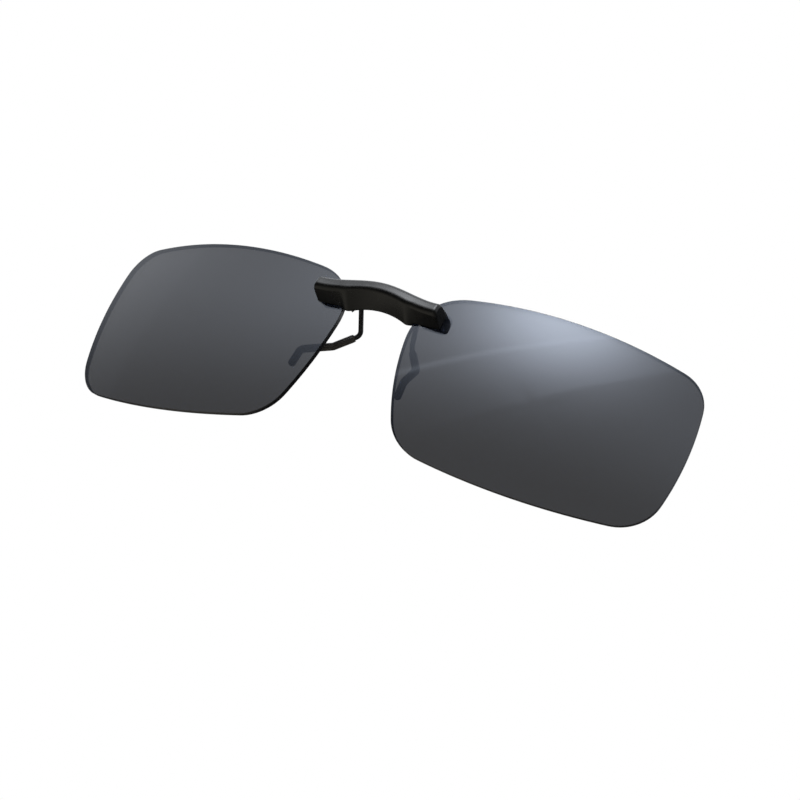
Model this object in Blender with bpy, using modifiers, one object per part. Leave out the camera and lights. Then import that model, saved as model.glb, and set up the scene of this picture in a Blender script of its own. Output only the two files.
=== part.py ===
"""Clip-on sunglasses: two dished smoke lenses on a moulded bridge with sprung claws.

The object is modelled as worn: +X to the lens at the viewer's right, -Y is the front,
+Z is up. The origin is on the bridge's rear seat, the flat face that rests against the
spectacles. Lengths are given in millimetres and turned into metres where meshes are made.
"""
import math

import bmesh
import bpy
from mathutils import Matrix, Vector

MM = 0.001
SIDES = {"left": -1, "right": 1}

# ---- lenses -------------------------------------------------------------------------
LENS_CENTRE = Vector((36.7, -0.8, -12.5))
LENS_WRAP = math.radians(12.7)          # each lens turns back towards the temple
LENS_RADIUS = 133.0                     # base-4 curve
LENS_THICKNESS = 1.0
# corners of the outline about the lens centre: nasal top, temporal top,
# temporal bottom, nasal bottom; then how far each side bows out and where the
# rounding of each corner starts
LENS_CORNERS = ((-29.4, 14.5), (26.3, 14.7), (25.8, -14.6), (-22.6, -14.6))
SIDE_BOWS = (3.2, 2.2, 2.45, 2.3)
CORNER_SETBACKS = (9.0, 4.9, 6.0, 5.3)
CORNER_FULLNESS = 0.6
SIDE_POINTS = 11
CORNER_POINTS = 6
LENS_RINGS = (1.0, 0.86, 0.66, 0.44, 0.22)

# ---- bridge -------------------------------------------------------------------------
BAR_HALF_LENGTH = 13.2
BAR_REAR_Y = -3.1
BAR_ARCH_SPAN = 12.4
RIDGE_END = (-7.7, -2.25)
TOP_EDGE_END = (-6.95, 0.2)
RIDGE_RISE = 1.75
TOP_RISE = 1.45
FRONT_BOW = 0.1
SHOULDER = (6.2, 7.5)                   # the deeper middle runs out into the two lobes
MIDDLE_EDGE = (-4.0, -3.05)
MIDDLE_ARCH = 0.034                     # drop of the lower edge per mm squared
LOBE_EDGE = (-3.85, -3.65)
END_FILLET = 0.65
END_SQUARENESS = 0.22                   # how little the lower edge is rounded at the ends
HOUSING_HALF_LENGTH = 5.2
HOUSING_Y = (-3.8, -1.1)
HOUSING_Z = (-1.4, 1.4)
HOUSING_WALL = 0.35
SEAT_HALF_LENGTH = 7.3
COVER_THICKNESS = 1.0
COVER_STEP_WIDTH = 0.5
LOBE_END_X = 13.6                       # rear cover's lobes, behind the lenses
LOBE_Y = (-2.35, -1.25)
LOBE_Z = (-3.65, 0.1)
LOBE_CORNER = 1.2
LOBE_INNER_CORNER = (-3.2, 1.8)         # its height and its rounding
LENS_SEAT_GAP = 0.12
LENS_EDGE_GAP = 0.25

# ---- claws and their hinge ----------------------------------------------------------
AXIS_Y, AXIS_Z = -2.4, 0.0
WIRE_RADIUS = 0.46
SLEEVE_RADIUS = 0.72
SLEEVE_BORE = 0.54
SLEEVE_PAST_WIRE = 1.5
LEG_X = 6.0
SPINDLE_START_X = 1.0
LEG_OUTLET = (6.0, 0.1, -2.6)
FIRST_BEND = (5.55, 2.3, -5.9)
SLEEVE_MOUTH = 0.22                     # share of the way from the first bend to the second
SECOND_BEND = (9.2, 1.13, -10.18)
TIP_BEND = (11.5, -1.93, -13.8)
WIRE_END = (12.1, -1.83, -15.9)
# the claws are bent by hand: how far the last bend and the end of each wire stand
# outwards from the pattern, and how far both stand up
TIP_SPREAD = {"left": (1.8, 1.6), "right": (-1.7, -2.3)}
TIP_LIFT = {"left": 1.05, "right": -0.4}
BEND_RADIUS = 1.3
LEG_SLOT_X = 5.3                        # each slot reaches from here to its lobe
LEG_SLOT_TOP = 0.2

# ---- return springs and bearing block -----------------------------------------------
SPRING_TURNS = 5
SPRING_RADIUS = 0.8
SPRING_WIRE = 0.13
SPRING_X = (2.05, 4.2)
SPRING_POINTS_PER_TURN = 12
BLOCK_HALF_LENGTH = 1.7
BLOCK_Y = (-3.4, -1.2)
BLOCK_Z = (-0.95, 0.95)
BEARING_RADIUS = 0.56

# ---- upper prongs -------------------------------------------------------------------
PRONG_X = 3.6
PRONG_PATH = ((-0.9, 0.6), (0.6, 0.65), (2.4, 2.5), (3.3, 0.95))
PRONG_BEND_RADIUS = 0.7
PRONG_SLEEVE_RADIUS = 0.68
PRONG_SLEEVE_SHARE = 0.62               # of the wire's length, counted from the tip
PRONG_SLEEVE_PAST_WIRE = 0.4

# ---- lens fixings -------------------------------------------------------------------
SCREW_X, SCREW_Z = 11.9, -1.75
SCREW_HEAD = (0.95, -1.75, -1.15)       # radius, then its two ends along Y
SCREW_SHANK = (0.5, -5.8, -1.7)
SCREW_SLOT = (0.28, 0.22)
BUSH = (0.85, 0.6, -3.6, -2.45)         # outer and inner radius, then its two ends
LENS_SCREW_HOLE = 0.95
PEG_X, PEG_Z = 9.3, -1.8
PEG = (0.5, -4.3, -2.5)
LENS_PEG_HOLE = 0.65
BLIND_HOLE = (0.6, -6.0, -2.0)
COUNTERBORE = (1.08, -1.8, -0.9)
ROUND_SEGMENTS = 20

COLOURS = {
    "smoke_lens": ((0.035, 0.042, 0.052, 1.0), 0.06, 0.0),
    "bridge_plastic": ((0.018, 0.018, 0.019, 1.0), 0.38, 0.0),
    "claw_wire": ((0.02, 0.02, 0.02, 1.0), 0.35, 0.6),
    "silicone": ((0.03, 0.03, 0.032, 1.0), 0.55, 0.0),
    "steel": ((0.6, 0.6, 0.61, 1.0), 0.3, 1.0),
    "nylon": ((0.75, 0.74, 0.7, 1.0), 0.5, 0.0),
}


# ---- scene helpers ------------------------------------------------------------------
def clear_scene():
    for item in list(bpy.data.objects):
        bpy.data.objects.remove(item, do_unlink=True)


def new_collection(name):
    group = bpy.data.collections.new(name)
    bpy.context.scene.collection.children.link(group)
    return group


def material(name):
    found = bpy.data.materials.get(name)
    if found:
        return found
    colour, roughness, metallic = COLOURS[name]
    made = bpy.data.materials.new(name)
    made.use_nodes = True
    shader = made.node_tree.nodes["Principled BSDF"]
    shader.inputs["Base Color"].default_value = colour
    shader.inputs["Roughness"].default_value = roughness
    shader.inputs["Metallic"].default_value = metallic
    return made


def new_object(name, mesh, group, finish=None):
    made = bpy.data.objects.new(name, mesh)
    group.objects.link(made)
    if finish:
        mesh.materials.append(material(finish))
    return made


def mesh_from(name, bm):
    bmesh.ops.recalc_face_normals(bm, faces=bm.faces)
    mesh = bpy.data.meshes.new(name)
    bm.to_mesh(mesh)
    bm.free()
    mesh.shade_smooth()
    mesh.set_sharp_from_angle(angle=math.radians(35))
    return mesh


def boolean(target, cutter, operation="DIFFERENCE"):
    step = target.modifiers.new(cutter.name, "BOOLEAN")
    step.operation = operation
    step.object = cutter


def hide(cutter):
    cutter.hide_render = True
    cutter.display_type = "WIRE"
    return cutter


# ---- shape helpers ------------------------------------------------------------------
def box(name, low, high, group, finish=None, bevel=0.0):
    """A box between two corners, with its edges rounded by an optional bevel."""
    low, high = Vector(low), Vector(high)
    bm = bmesh.new()
    bmesh.ops.create_cube(bm, size=1.0)
    size = Matrix.Diagonal((*((high - low) * MM), 1.0))
    bmesh.ops.transform(bm, matrix=Matrix.Translation((low + high) * MM / 2) @ size, verts=bm.verts)
    made = new_object(name, mesh_from(name, bm), group, finish)
    if bevel:
        rounding = made.modifiers.new("rounding", "BEVEL")
        rounding.width = bevel * MM
        rounding.segments = 2
    return made


def rod(name, radius, ends, x, z, group, finish=None):
    """A round rod along Y between two values of y."""
    bm = bmesh.new()
    bmesh.ops.create_cone(bm, cap_ends=True, segments=ROUND_SEGMENTS, radius1=radius * MM,
                          radius2=radius * MM, depth=(ends[1] - ends[0]) * MM)
    place = Matrix.Translation(Vector((x, sum(ends) / 2, z)) * MM)
    bmesh.ops.transform(bm, matrix=place @ Matrix.Rotation(math.pi / 2, 4, "X"), verts=bm.verts)
    return new_object(name, mesh_from(name, bm), group, finish)


def fillet(before, corner, after, radius, steps):
    """Points of the arc that rounds a corner, at most as large as its two sides allow."""
    back, ahead = (before - corner), (after - corner)
    angle = back.angle(ahead)
    reach = min(radius / math.tan(angle / 2), 0.48 * back.length, 0.48 * ahead.length)
    start = corner + back.normalized() * reach
    end = corner + ahead.normalized() * reach
    centre = corner + (back.normalized() + ahead.normalized()).normalized() * (reach / math.cos(angle / 2))
    points = []
    for step in range(steps + 1):
        mixed = start.lerp(end, step / steps) - centre
        points.append(centre + mixed.normalized() * (start - centre).length)
    return points


def rounded_loop(corners, radii, steps=3):
    """A closed outline with every corner rounded."""
    corners = [Vector(corner) for corner in corners]
    points = []
    for index, corner in enumerate(corners):
        after = corners[(index + 1) % len(corners)]
        points += fillet(corners[index - 1], corner, after, radii[index], steps)
    return points


def rounded_path(corners, radius, steps=5):
    """An open path through the corners, with its bends rounded."""
    corners = [Vector(corner) for corner in corners]
    points = [corners[0]]
    for before, corner, after in zip(corners, corners[1:], corners[2:]):
        points += fillet(before, corner, after, radius, steps)
    return points + [corners[-1]]


def wire(name, points, radius, group, finish=None, sides=2):
    """A round wire along the points, as a closed mesh."""
    curve = bpy.data.curves.new(name + "_curve", "CURVE")
    curve.dimensions = "3D"
    curve.bevel_depth = radius * MM
    curve.bevel_resolution = sides
    curve.use_fill_caps = True
    spline = curve.splines.new("POLY")
    spline.points.add(len(points) - 1)
    for knot, point in zip(spline.points, points):
        knot.co = (*(Vector(point) * MM), 1.0)
    holder = bpy.data.objects.new(name + "_curve", curve)
    group.objects.link(holder)
    evaluated = holder.evaluated_get(bpy.context.evaluated_depsgraph_get())
    mesh = bpy.data.meshes.new_from_object(evaluated)
    bpy.data.objects.remove(holder, do_unlink=True)
    bm = bmesh.new()
    bm.from_mesh(mesh)
    bmesh.ops.remove_doubles(bm, verts=bm.verts, dist=0.001 * MM)
    bpy.data.meshes.remove(mesh)
    return new_object(name, mesh_from(name, bm), group, finish)


def prism(name, outline, ends, group, finish=None):
    """An outline in X and Z, extruded along Y between two values of y."""
    bm = bmesh.new()
    corners = [bm.verts.new(Vector((x, ends[0], z)) * MM) for x, z in outline]
    face = bm.faces.new(corners)
    grown = bmesh.ops.extrude_face_region(bm, geom=[face])
    moved = [item for item in grown["geom"] if isinstance(item, bmesh.types.BMVert)]
    bmesh.ops.translate(bm, verts=moved, vec=(0, (ends[1] - ends[0]) * MM, 0))
    return new_object(name, mesh_from(name, bm), group, finish)


# ---- lenses -------------------------------------------------------------------------
def bowed_side(start, end, bow, count):
    """Points of the arc from start to end that bows out to the left of its direction."""
    start, end = Vector(start), Vector(end)
    chord = end - start
    radius = (chord.length ** 2 / 4 + bow ** 2) / (2 * bow)
    outward = Vector((-chord.y, chord.x)).normalized()
    centre = (start + end) / 2 + outward * (bow - radius)
    half = math.asin(chord.length / 2 / radius)
    points = []
    for step in range(count):
        turn = half * (1 - 2 * step / (count - 1))
        along = Vector((outward.x * math.cos(turn) - outward.y * math.sin(turn),
                        outward.x * math.sin(turn) + outward.y * math.cos(turn)))
        points.append(centre + along * radius)
    return points


def trim(points, start, end):
    """The stretch of a dense side between two lengths measured from its two ends."""
    step = (points[1] - points[0]).length
    first, last = round(start / step), len(points) - 1 - round(end / step)
    picks = [first + (last - first) * n / (SIDE_POINTS - 1) for n in range(SIDE_POINTS)]
    return [points[round(pick)] for pick in picks]


def corner_curve(side, following):
    """Bezier points that carry one side smoothly into the next."""
    start, end = side[-1], following[0]
    leave = (side[-1] - side[-2]).normalized()
    arrive = (following[1] - following[0]).normalized()
    gap = end - start
    cross = leave.x * arrive.y - leave.y * arrive.x
    out_reach = (gap.x * arrive.y - gap.y * arrive.x) / cross
    in_reach = (gap.y * leave.x - gap.x * leave.y) / -cross
    first = start + leave * out_reach * CORNER_FULLNESS
    second = end - arrive * abs(in_reach) * CORNER_FULLNESS
    points = []
    for step in range(1, CORNER_POINTS + 1):
        t = step / (CORNER_POINTS + 1)
        points.append(start * (1 - t) ** 3 + first * 3 * t * (1 - t) ** 2
                      + second * 3 * t ** 2 * (1 - t) + end * t ** 3)
    return points


def lens_outline(grow=0.0):
    """The lens outline about its centre, optionally grown outwards."""
    count = len(LENS_CORNERS)
    sides = []
    for index in range(count):
        dense = bowed_side(LENS_CORNERS[index], LENS_CORNERS[(index + 1) % count], SIDE_BOWS[index], 400)
        sides.append(trim(dense, CORNER_SETBACKS[index], CORNER_SETBACKS[(index + 1) % count]))
    points = []
    for index, side in enumerate(sides):
        points += side + corner_curve(side, sides[(index + 1) % count])
    if not grow:
        return points
    grown = []
    for index, point in enumerate(points):
        along = points[(index + 1) % len(points)] - points[index - 1]
        grown.append(point + Vector((-along.y, along.x)).normalized() * grow)
    return grown


def on_lens(u, v, side):
    """The lens's front surface, from distances across and up from its centre."""
    sag = LENS_RADIUS - math.sqrt(LENS_RADIUS ** 2 - u * u - v * v)
    x = LENS_CENTRE.x + u * math.cos(LENS_WRAP) - sag * math.sin(LENS_WRAP)
    y = LENS_CENTRE.y + u * math.sin(LENS_WRAP) + sag * math.cos(LENS_WRAP)
    return Vector((side * x, y, LENS_CENTRE.z + v))


def lens_shell(name, side, thickness, lift, grow, group, finish=None):
    """A dished sheet on the lens's surface, thickened towards the rear."""
    outline = lens_outline(grow)
    bm = bmesh.new()
    rings = []
    for share in LENS_RINGS:
        rings.append([bm.verts.new(on_lens(p.x * share, p.y * share, side) * MM) for p in outline])
    centre = bm.verts.new(on_lens(0, 0, side) * MM)
    for outer, inner in zip(rings, rings[1:]):
        for index in range(len(outline)):
            after = (index + 1) % len(outline)
            bm.faces.new((outer[index], outer[after], inner[after], inner[index]))
    for index in range(len(outline)):
        bm.faces.new((rings[-1][index], rings[-1][(index + 1) % len(outline)], centre))
    bmesh.ops.recalc_face_normals(bm, faces=bm.faces)
    if sum(face.normal.y for face in bm.faces) > 0:
        bmesh.ops.reverse_faces(bm, faces=bm.faces)
    for vert in bm.verts:
        vert.co.y -= lift * MM
    mesh = bpy.data.meshes.new(name)
    bm.to_mesh(mesh)
    bm.free()
    made = new_object(name, mesh, group, finish)
    sheet = made.modifiers.new("thickness", "SOLIDIFY")
    sheet.thickness = thickness * MM
    sheet.offset = -1.0
    return made


def build_lens(side_name, group, cutters):
    side = SIDES[side_name]
    lens = lens_shell(side_name + "_lens", side, LENS_THICKNESS, 0.0, 0.0, group, "smoke_lens")
    through = (-6.0, 0.0)
    screw_hole = rod(side_name + "_lens_screw_hole", LENS_SCREW_HOLE, through, side * SCREW_X, SCREW_Z, cutters)
    peg_hole = rod(side_name + "_lens_peg_hole", LENS_PEG_HOLE, through, side * PEG_X, PEG_Z, cutters)
    boolean(lens, hide(screw_hole))
    boolean(lens, hide(peg_hole))
    return lens


# ---- bridge front shell -------------------------------------------------------------
def bar_section(x):
    """Rounded section of the arched bar in Y and Z at a distance from the middle."""
    rise = 0.5 + 0.5 * math.cos(math.pi * min(x / BAR_ARCH_SPAN, 1.0))
    ridge = (RIDGE_END[0] - FRONT_BOW * rise, RIDGE_END[1] + RIDGE_RISE * rise)
    top = (TOP_EDGE_END[0] - FRONT_BOW * rise, TOP_EDGE_END[1] + TOP_RISE * rise)
    share = min(max((x - SHOULDER[0]) / (SHOULDER[1] - SHOULDER[0]), 0.0), 1.0)
    share *= share * (3 - 2 * share)
    low = Vector((MIDDLE_EDGE[0], MIDDLE_EDGE[1] - MIDDLE_ARCH * x * x)).lerp(Vector(LOBE_EDGE), share)
    rear_low = (BAR_REAR_Y, low[1] + 0.5 - 0.4 * share)
    rear_top = (BAR_REAR_Y, top[1] - 0.3)
    loop = rounded_loop((rear_top, top, ridge, low, rear_low), (0.3, 0.8, 0.9, 0.45, 0.2))
    depth = x - (BAR_HALF_LENGTH - END_FILLET)
    if depth <= 0:
        return loop
    inset = END_FILLET - math.sqrt(max(END_FILLET ** 2 - depth ** 2, 0.0))
    middle = low[1] + (top[1] - low[1]) * END_SQUARENESS
    shrink_z = 1 - inset / (top[1] - middle)
    shrink_y = 1 - inset / (BAR_REAR_Y - ridge[0])
    return [Vector((BAR_REAR_Y + (p.x - BAR_REAR_Y) * shrink_y, middle + (p.y - middle) * shrink_z))
            for p in loop]


def bar_stations():
    middle = [SHOULDER[0] * step / 6 for step in range(6)]
    shoulder = [SHOULDER[0] + (SHOULDER[1] - SHOULDER[0]) * step / 5 for step in range(5)]
    lobe = [SHOULDER[1] + (BAR_HALF_LENGTH - END_FILLET - SHOULDER[1]) * step / 5 for step in range(6)]
    end = [BAR_HALF_LENGTH - END_FILLET * (1 - math.sin(math.radians(turn))) for turn in (20, 40, 60, 78)]
    return middle + shoulder + lobe + end


def build_bar(group):
    """Half of the arched bar, lofted outwards from the middle and mirrored."""
    bm = bmesh.new()
    rings = []
    for x in bar_stations():
        rings.append([bm.verts.new(Vector((x, p.x, p.y)) * MM) for p in bar_section(x)])
    for inner, outer in zip(rings, rings[1:]):
        for index in range(len(inner)):
            after = (index + 1) % len(inner)
            bm.faces.new((inner[index], inner[after], outer[after], outer[index]))
    bm.faces.new(rings[-1])
    bar = new_object("bridge_front_shell", mesh_from("bridge_front_shell", bm), group, "bridge_plastic")
    halves = bar.modifiers.new("both_halves", "MIRROR")
    halves.use_axis = (True, False, False)
    halves.merge_threshold = 0.005 * MM
    return bar


def build_front_shell(group, cutters):
    shell = build_bar(group)
    outer = box("spring_housing", (-HOUSING_HALF_LENGTH, HOUSING_Y[0], HOUSING_Z[0]),
                (HOUSING_HALF_LENGTH, HOUSING_Y[1], HOUSING_Z[1]), cutters, bevel=0.3)
    boolean(shell, hide(outer), "UNION")
    pocket = box("spring_pocket",
                 (-HOUSING_HALF_LENGTH + HOUSING_WALL, HOUSING_Y[0] + 0.3, HOUSING_Z[0] + HOUSING_WALL),
                 (HOUSING_HALF_LENGTH - HOUSING_WALL, 0.0, HOUSING_Z[1] - HOUSING_WALL), cutters)
    boolean(shell, hide(pocket))
    slot = box("spindle_slot", (-7.5, AXIS_Y - BEARING_RADIUS, AXIS_Z - BEARING_RADIUS),
               (7.5, 0.0, AXIS_Z + BEARING_RADIUS), cutters)
    boolean(shell, hide(slot))
    for name, side in SIDES.items():
        seat = lens_shell(name + "_lens_seat", side, 3.0, LENS_SEAT_GAP, LENS_EDGE_GAP, cutters)
        boolean(shell, hide(seat))
        peg = rod(name + "_peg", PEG[0], PEG[1:], side * PEG_X, PEG_Z, cutters)
        boolean(shell, hide(peg), "UNION")
        hole = rod(name + "_screw_hole", BLIND_HOLE[0], BLIND_HOLE[1:], side * SCREW_X, SCREW_Z, cutters)
        boolean(shell, hide(hole))
    return shell


# ---- bridge rear cover --------------------------------------------------------------
def cover_outline():
    """Outline of the rear cover: a central plate, two slots for the legs, and two lobes."""
    right = ((SEAT_HALF_LENGTH, HOUSING_Z[1]), (SEAT_HALF_LENGTH + 1.2, LOBE_Z[1]),
             (LOBE_END_X, LOBE_Z[1]), (LOBE_END_X, LOBE_Z[0]), (SEAT_HALF_LENGTH, LOBE_INNER_CORNER[0]),
             (SEAT_HALF_LENGTH, LEG_SLOT_TOP), (LEG_SLOT_X, LEG_SLOT_TOP), (LEG_SLOT_X, HOUSING_Z[0]))
    radii = (0.5, 0.6, LOBE_CORNER, LOBE_CORNER, LOBE_INNER_CORNER[1], 0.3, 0.3, 0.3)
    left = tuple((-x, z) for x, z in reversed(right))
    return rounded_loop(right + left, radii + tuple(reversed(radii)), steps=4)


def build_rear_cover(group, cutters):
    plate = prism("bridge_rear_cover", cover_outline(), (LOBE_Y[0], 0.0), group, "bridge_plastic")
    hollow = box("cover_hollow", (-SEAT_HALF_LENGTH + COVER_STEP_WIDTH, LOBE_Y[0] - 1, -9),
                 (SEAT_HALF_LENGTH - COVER_STEP_WIDTH, -COVER_THICKNESS, 9), cutters)
    boolean(plate, hide(hollow))
    for name, side in SIDES.items():
        near, far = side * (SEAT_HALF_LENGTH + COVER_STEP_WIDTH), side * (LOBE_END_X + 1)
        relief = box(name + "_lobe_relief", (min(near, far), LOBE_Y[1], -9), (max(near, far), 1, 9), cutters)
        boolean(plate, hide(relief))
        clearance = rod(name + "_screw_clearance", 0.62, (-4.0, 0.0), side * SCREW_X, SCREW_Z, cutters)
        boolean(plate, hide(clearance))
        sink = rod(name + "_screw_sink", COUNTERBORE[0], COUNTERBORE[1:], side * SCREW_X, SCREW_Z, cutters)
        boolean(plate, hide(sink))
        socket = rod(name + "_prong_socket", WIRE_RADIUS + 0.1, (-3.0, 1.0), side * PRONG_X,
                     PRONG_PATH[0][1], cutters)
        boolean(plate, hide(socket))
    return plate


# ---- fixings ------------------------------------------------------------------------
def build_screw(side_name, group, cutters):
    x = SIDES[side_name] * SCREW_X
    screw = rod(side_name + "_lens_screw", SCREW_SHANK[0], SCREW_SHANK[1:], x, SCREW_Z, group, "steel")
    head = rod(side_name + "_screw_head", SCREW_HEAD[0], SCREW_HEAD[1:], x, SCREW_Z, cutters)
    boolean(screw, hide(head), "UNION")
    width, depth = SCREW_SLOT
    slot = box(side_name + "_screw_slot", (x - width / 2, SCREW_HEAD[2] - depth, SCREW_Z - 2),
               (x + width / 2, SCREW_HEAD[2] + 1, SCREW_Z + 2), cutters)
    boolean(screw, hide(slot))


def build_bush(side_name, group, cutters):
    outer, inner, start, end = BUSH
    x = SIDES[side_name] * SCREW_X
    bush = rod(side_name + "_lens_bush", outer, (start, end), x, SCREW_Z, group, "nylon")
    bore = rod(side_name + "_bush_bore", inner, (start - 1, end + 1), x, SCREW_Z, cutters)
    boolean(bush, hide(bore))


# ---- claws --------------------------------------------------------------------------
def claw_corners(side_name):
    """Corners of the claw's centre line, from its spindle to the wire's end."""
    side, lift = SIDES[side_name], TIP_LIFT[side_name]
    tips = [(x + spread, y, z + lift)
            for (x, y, z), spread in zip((TIP_BEND, WIRE_END), TIP_SPREAD[side_name])]
    corners = [(SPINDLE_START_X, AXIS_Y, AXIS_Z), (LEG_X, AXIS_Y, AXIS_Z), LEG_OUTLET, FIRST_BEND,
               (SECOND_BEND[0], SECOND_BEND[1], SECOND_BEND[2] + lift / 2)]
    return [Vector((side * x, y, z)) for x, y, z in corners + tips]


def build_claw(side_name, group, cutters):
    corners = claw_corners(side_name)
    wire(side_name + "_claw_wire", rounded_path(corners, BEND_RADIUS), WIRE_RADIUS, group, "claw_wire", 3)
    sleeved = [corners[3].lerp(corners[4], SLEEVE_MOUTH)] + corners[4:]
    tail = (sleeved[-1] - sleeved[-2]).normalized()
    outside = sleeved[:-1] + [sleeved[-1] + tail * SLEEVE_PAST_WIRE]
    mouth = (sleeved[0] - sleeved[1]).normalized()
    inside = [sleeved[0] + mouth] + sleeved[1:-1] + [sleeved[-1] + tail * 0.12]
    sleeve = wire(side_name + "_claw_sleeve", rounded_path(outside, BEND_RADIUS), SLEEVE_RADIUS,
                  group, "silicone", 4)
    bore = wire(side_name + "_sleeve_bore", rounded_path(inside, BEND_RADIUS), SLEEVE_BORE, cutters, None, 4)
    boolean(sleeve, hide(bore))


def build_spring(side_name, group):
    """Coil spring round the spindle, with one leg on the housing's floor."""
    side = SIDES[side_name]
    steps = SPRING_TURNS * SPRING_POINTS_PER_TURN
    points = [(side * SPRING_X[0], AXIS_Y + SPRING_RADIUS, AXIS_Z - 0.75)]
    for step in range(steps + 1):
        turn = 2 * math.pi * step / SPRING_POINTS_PER_TURN
        x = SPRING_X[0] + (SPRING_X[1] - SPRING_X[0]) * step / steps
        points.append((side * x, AXIS_Y + SPRING_RADIUS * math.cos(turn), AXIS_Z + SPRING_RADIUS * math.sin(turn)))
    points.append((side * SPRING_X[1], AXIS_Y + SPRING_RADIUS, AXIS_Z - 0.75))
    wire(side_name + "_return_spring", points, SPRING_WIRE, group, "steel")


def build_bearing_block(group, cutters):
    block = box("claw_bearing_block", (-BLOCK_HALF_LENGTH, BLOCK_Y[0], BLOCK_Z[0]),
                (BLOCK_HALF_LENGTH, BLOCK_Y[1], BLOCK_Z[1]), group, "nylon", bevel=0.12)
    bore = wire("block_bore", [(-3, AXIS_Y, AXIS_Z), (3, AXIS_Y, AXIS_Z)], BEARING_RADIUS, cutters, None, 4)
    boolean(block, hide(bore))


def build_upper_prong(side_name, group, cutters):
    """Fixed hook that rests over the top of the spectacles, with its sleeve."""
    x = SIDES[side_name] * PRONG_X
    path = rounded_path([(x, y, z) for y, z in PRONG_PATH], PRONG_BEND_RADIUS)
    wire(side_name + "_upper_prong", path, WIRE_RADIUS, group, "claw_wire", 3)
    start = Vector((x, *PRONG_PATH[1])).lerp(Vector((x, *PRONG_PATH[2])), 1 - PRONG_SLEEVE_SHARE)
    bend, end = Vector((x, *PRONG_PATH[2])), path[-1]
    tail = (end - bend).normalized()
    outside = [start, bend, end + tail * PRONG_SLEEVE_PAST_WIRE]
    mouth = (start - bend).normalized()
    inside = [start + mouth, bend, end + tail * 0.12]
    sleeve = wire(side_name + "_upper_sleeve", rounded_path(outside, PRONG_BEND_RADIUS),
                  PRONG_SLEEVE_RADIUS, group, "silicone", 4)
    bore = wire(side_name + "_upper_bore", rounded_path(inside, PRONG_BEND_RADIUS), SLEEVE_BORE,
                cutters, None, 4)
    boolean(sleeve, hide(bore))


def main():
    clear_scene()
    parts = new_collection("clip_on_sunglasses")
    cutters = new_collection("cutters")
    build_front_shell(parts, cutters)
    build_rear_cover(parts, cutters)
    build_bearing_block(parts, cutters)
    for side_name in SIDES:
        build_lens(side_name, parts, cutters)
        build_screw(side_name, parts, cutters)
        build_bush(side_name, parts, cutters)
        build_claw(side_name, parts, cutters)
        build_spring(side_name, parts)
        build_upper_prong(side_name, parts, cutters)


main()
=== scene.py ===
"""Looks of the clip-on sunglasses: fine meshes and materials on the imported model's frame."""

import math

import bmesh
import bpy
from mathutils import Matrix, Vector

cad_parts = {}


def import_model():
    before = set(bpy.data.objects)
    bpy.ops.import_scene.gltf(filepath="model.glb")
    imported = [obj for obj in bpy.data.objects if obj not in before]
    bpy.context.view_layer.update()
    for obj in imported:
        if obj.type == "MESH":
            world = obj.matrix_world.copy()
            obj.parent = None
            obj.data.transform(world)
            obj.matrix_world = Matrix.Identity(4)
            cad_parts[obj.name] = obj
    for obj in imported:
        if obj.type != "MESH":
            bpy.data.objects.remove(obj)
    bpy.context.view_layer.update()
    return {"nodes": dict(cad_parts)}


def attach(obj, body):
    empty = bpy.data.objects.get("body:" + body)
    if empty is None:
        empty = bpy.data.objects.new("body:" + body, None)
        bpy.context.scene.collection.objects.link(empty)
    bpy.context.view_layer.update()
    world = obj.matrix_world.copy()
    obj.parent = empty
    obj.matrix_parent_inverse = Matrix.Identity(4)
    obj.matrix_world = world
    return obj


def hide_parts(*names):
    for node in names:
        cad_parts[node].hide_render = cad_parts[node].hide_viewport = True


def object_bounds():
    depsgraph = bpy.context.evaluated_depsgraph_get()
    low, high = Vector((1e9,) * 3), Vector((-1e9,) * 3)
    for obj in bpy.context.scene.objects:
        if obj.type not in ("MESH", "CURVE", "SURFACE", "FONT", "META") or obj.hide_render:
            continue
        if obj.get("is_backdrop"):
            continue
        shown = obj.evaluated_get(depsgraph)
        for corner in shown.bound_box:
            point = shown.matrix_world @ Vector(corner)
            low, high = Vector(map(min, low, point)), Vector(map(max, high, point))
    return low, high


MM = 0.001
SIDES = {"left": -1, "right": 1}
PIECES = "visual_pieces"
TOOLS = "cutting_tools"

# ---- camera: azimuth 0 looks along +Y, and a positive elevation looks down ----------
CAMERA_AZIMUTH = math.radians(32.83)
CAMERA_ELEVATION = math.radians(-17.42)
CAMERA_ROLL = math.radians(24.81)
CAMERA_DISTANCE = 1.0006
CAMERA_AIM = (0.001025, -0.01666)       # across and up the picture from the origin
CAMERA_LENS = 249.5
SENSOR_WIDTH = 36.0

# ---- studio -------------------------------------------------------------------------
FLOOR_DROP = 0.42
FLOOR_RADIUS = 6.0
SKY_TINT = (0.97, 1.0, 1.05)
GROUND_TINT = (1.06, 1.0, 0.86)
HORIZON = (-14.0, 2.0)                  # elevations between which one tint turns to the other
# what polished faces reflect, by elevation in degrees: start, end and the two levels
WALL = (5.0, 25.0, 0.02, 1.13)
GROUND = (-20.0, -45.0, 0.0, 0.52)
GROUND_BEHIND = (0.18, 0.0, 0.0, 1.0)   # by how far the ray points to the rear
GROUND_ACROSS = (0.1, -0.6, 0.4, 1.0)   # and to the right
SIDE_CARD = (-71.0, -74.0, 0.0, 0.06)   # by azimuth
# soft lights: azimuth and elevation, how wide and high they spread, and strength
SOFTBOXES = (((-11.0, 33.5), (15.0, 9.4), 10.8), ((-38.0, 30.0), (16.0, 12.0), 0.7),
             ((-25.0, 51.0), (15.0, 13.0), 10.0))
# a card's lower edge, from one direction to another, and how much darker it is below
CARD_EDGE = ((-25.0, 7.0), (13.0, 33.0))
CARD_SHADE = 0.22
CARD_SOFTNESS = 0.7
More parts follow.
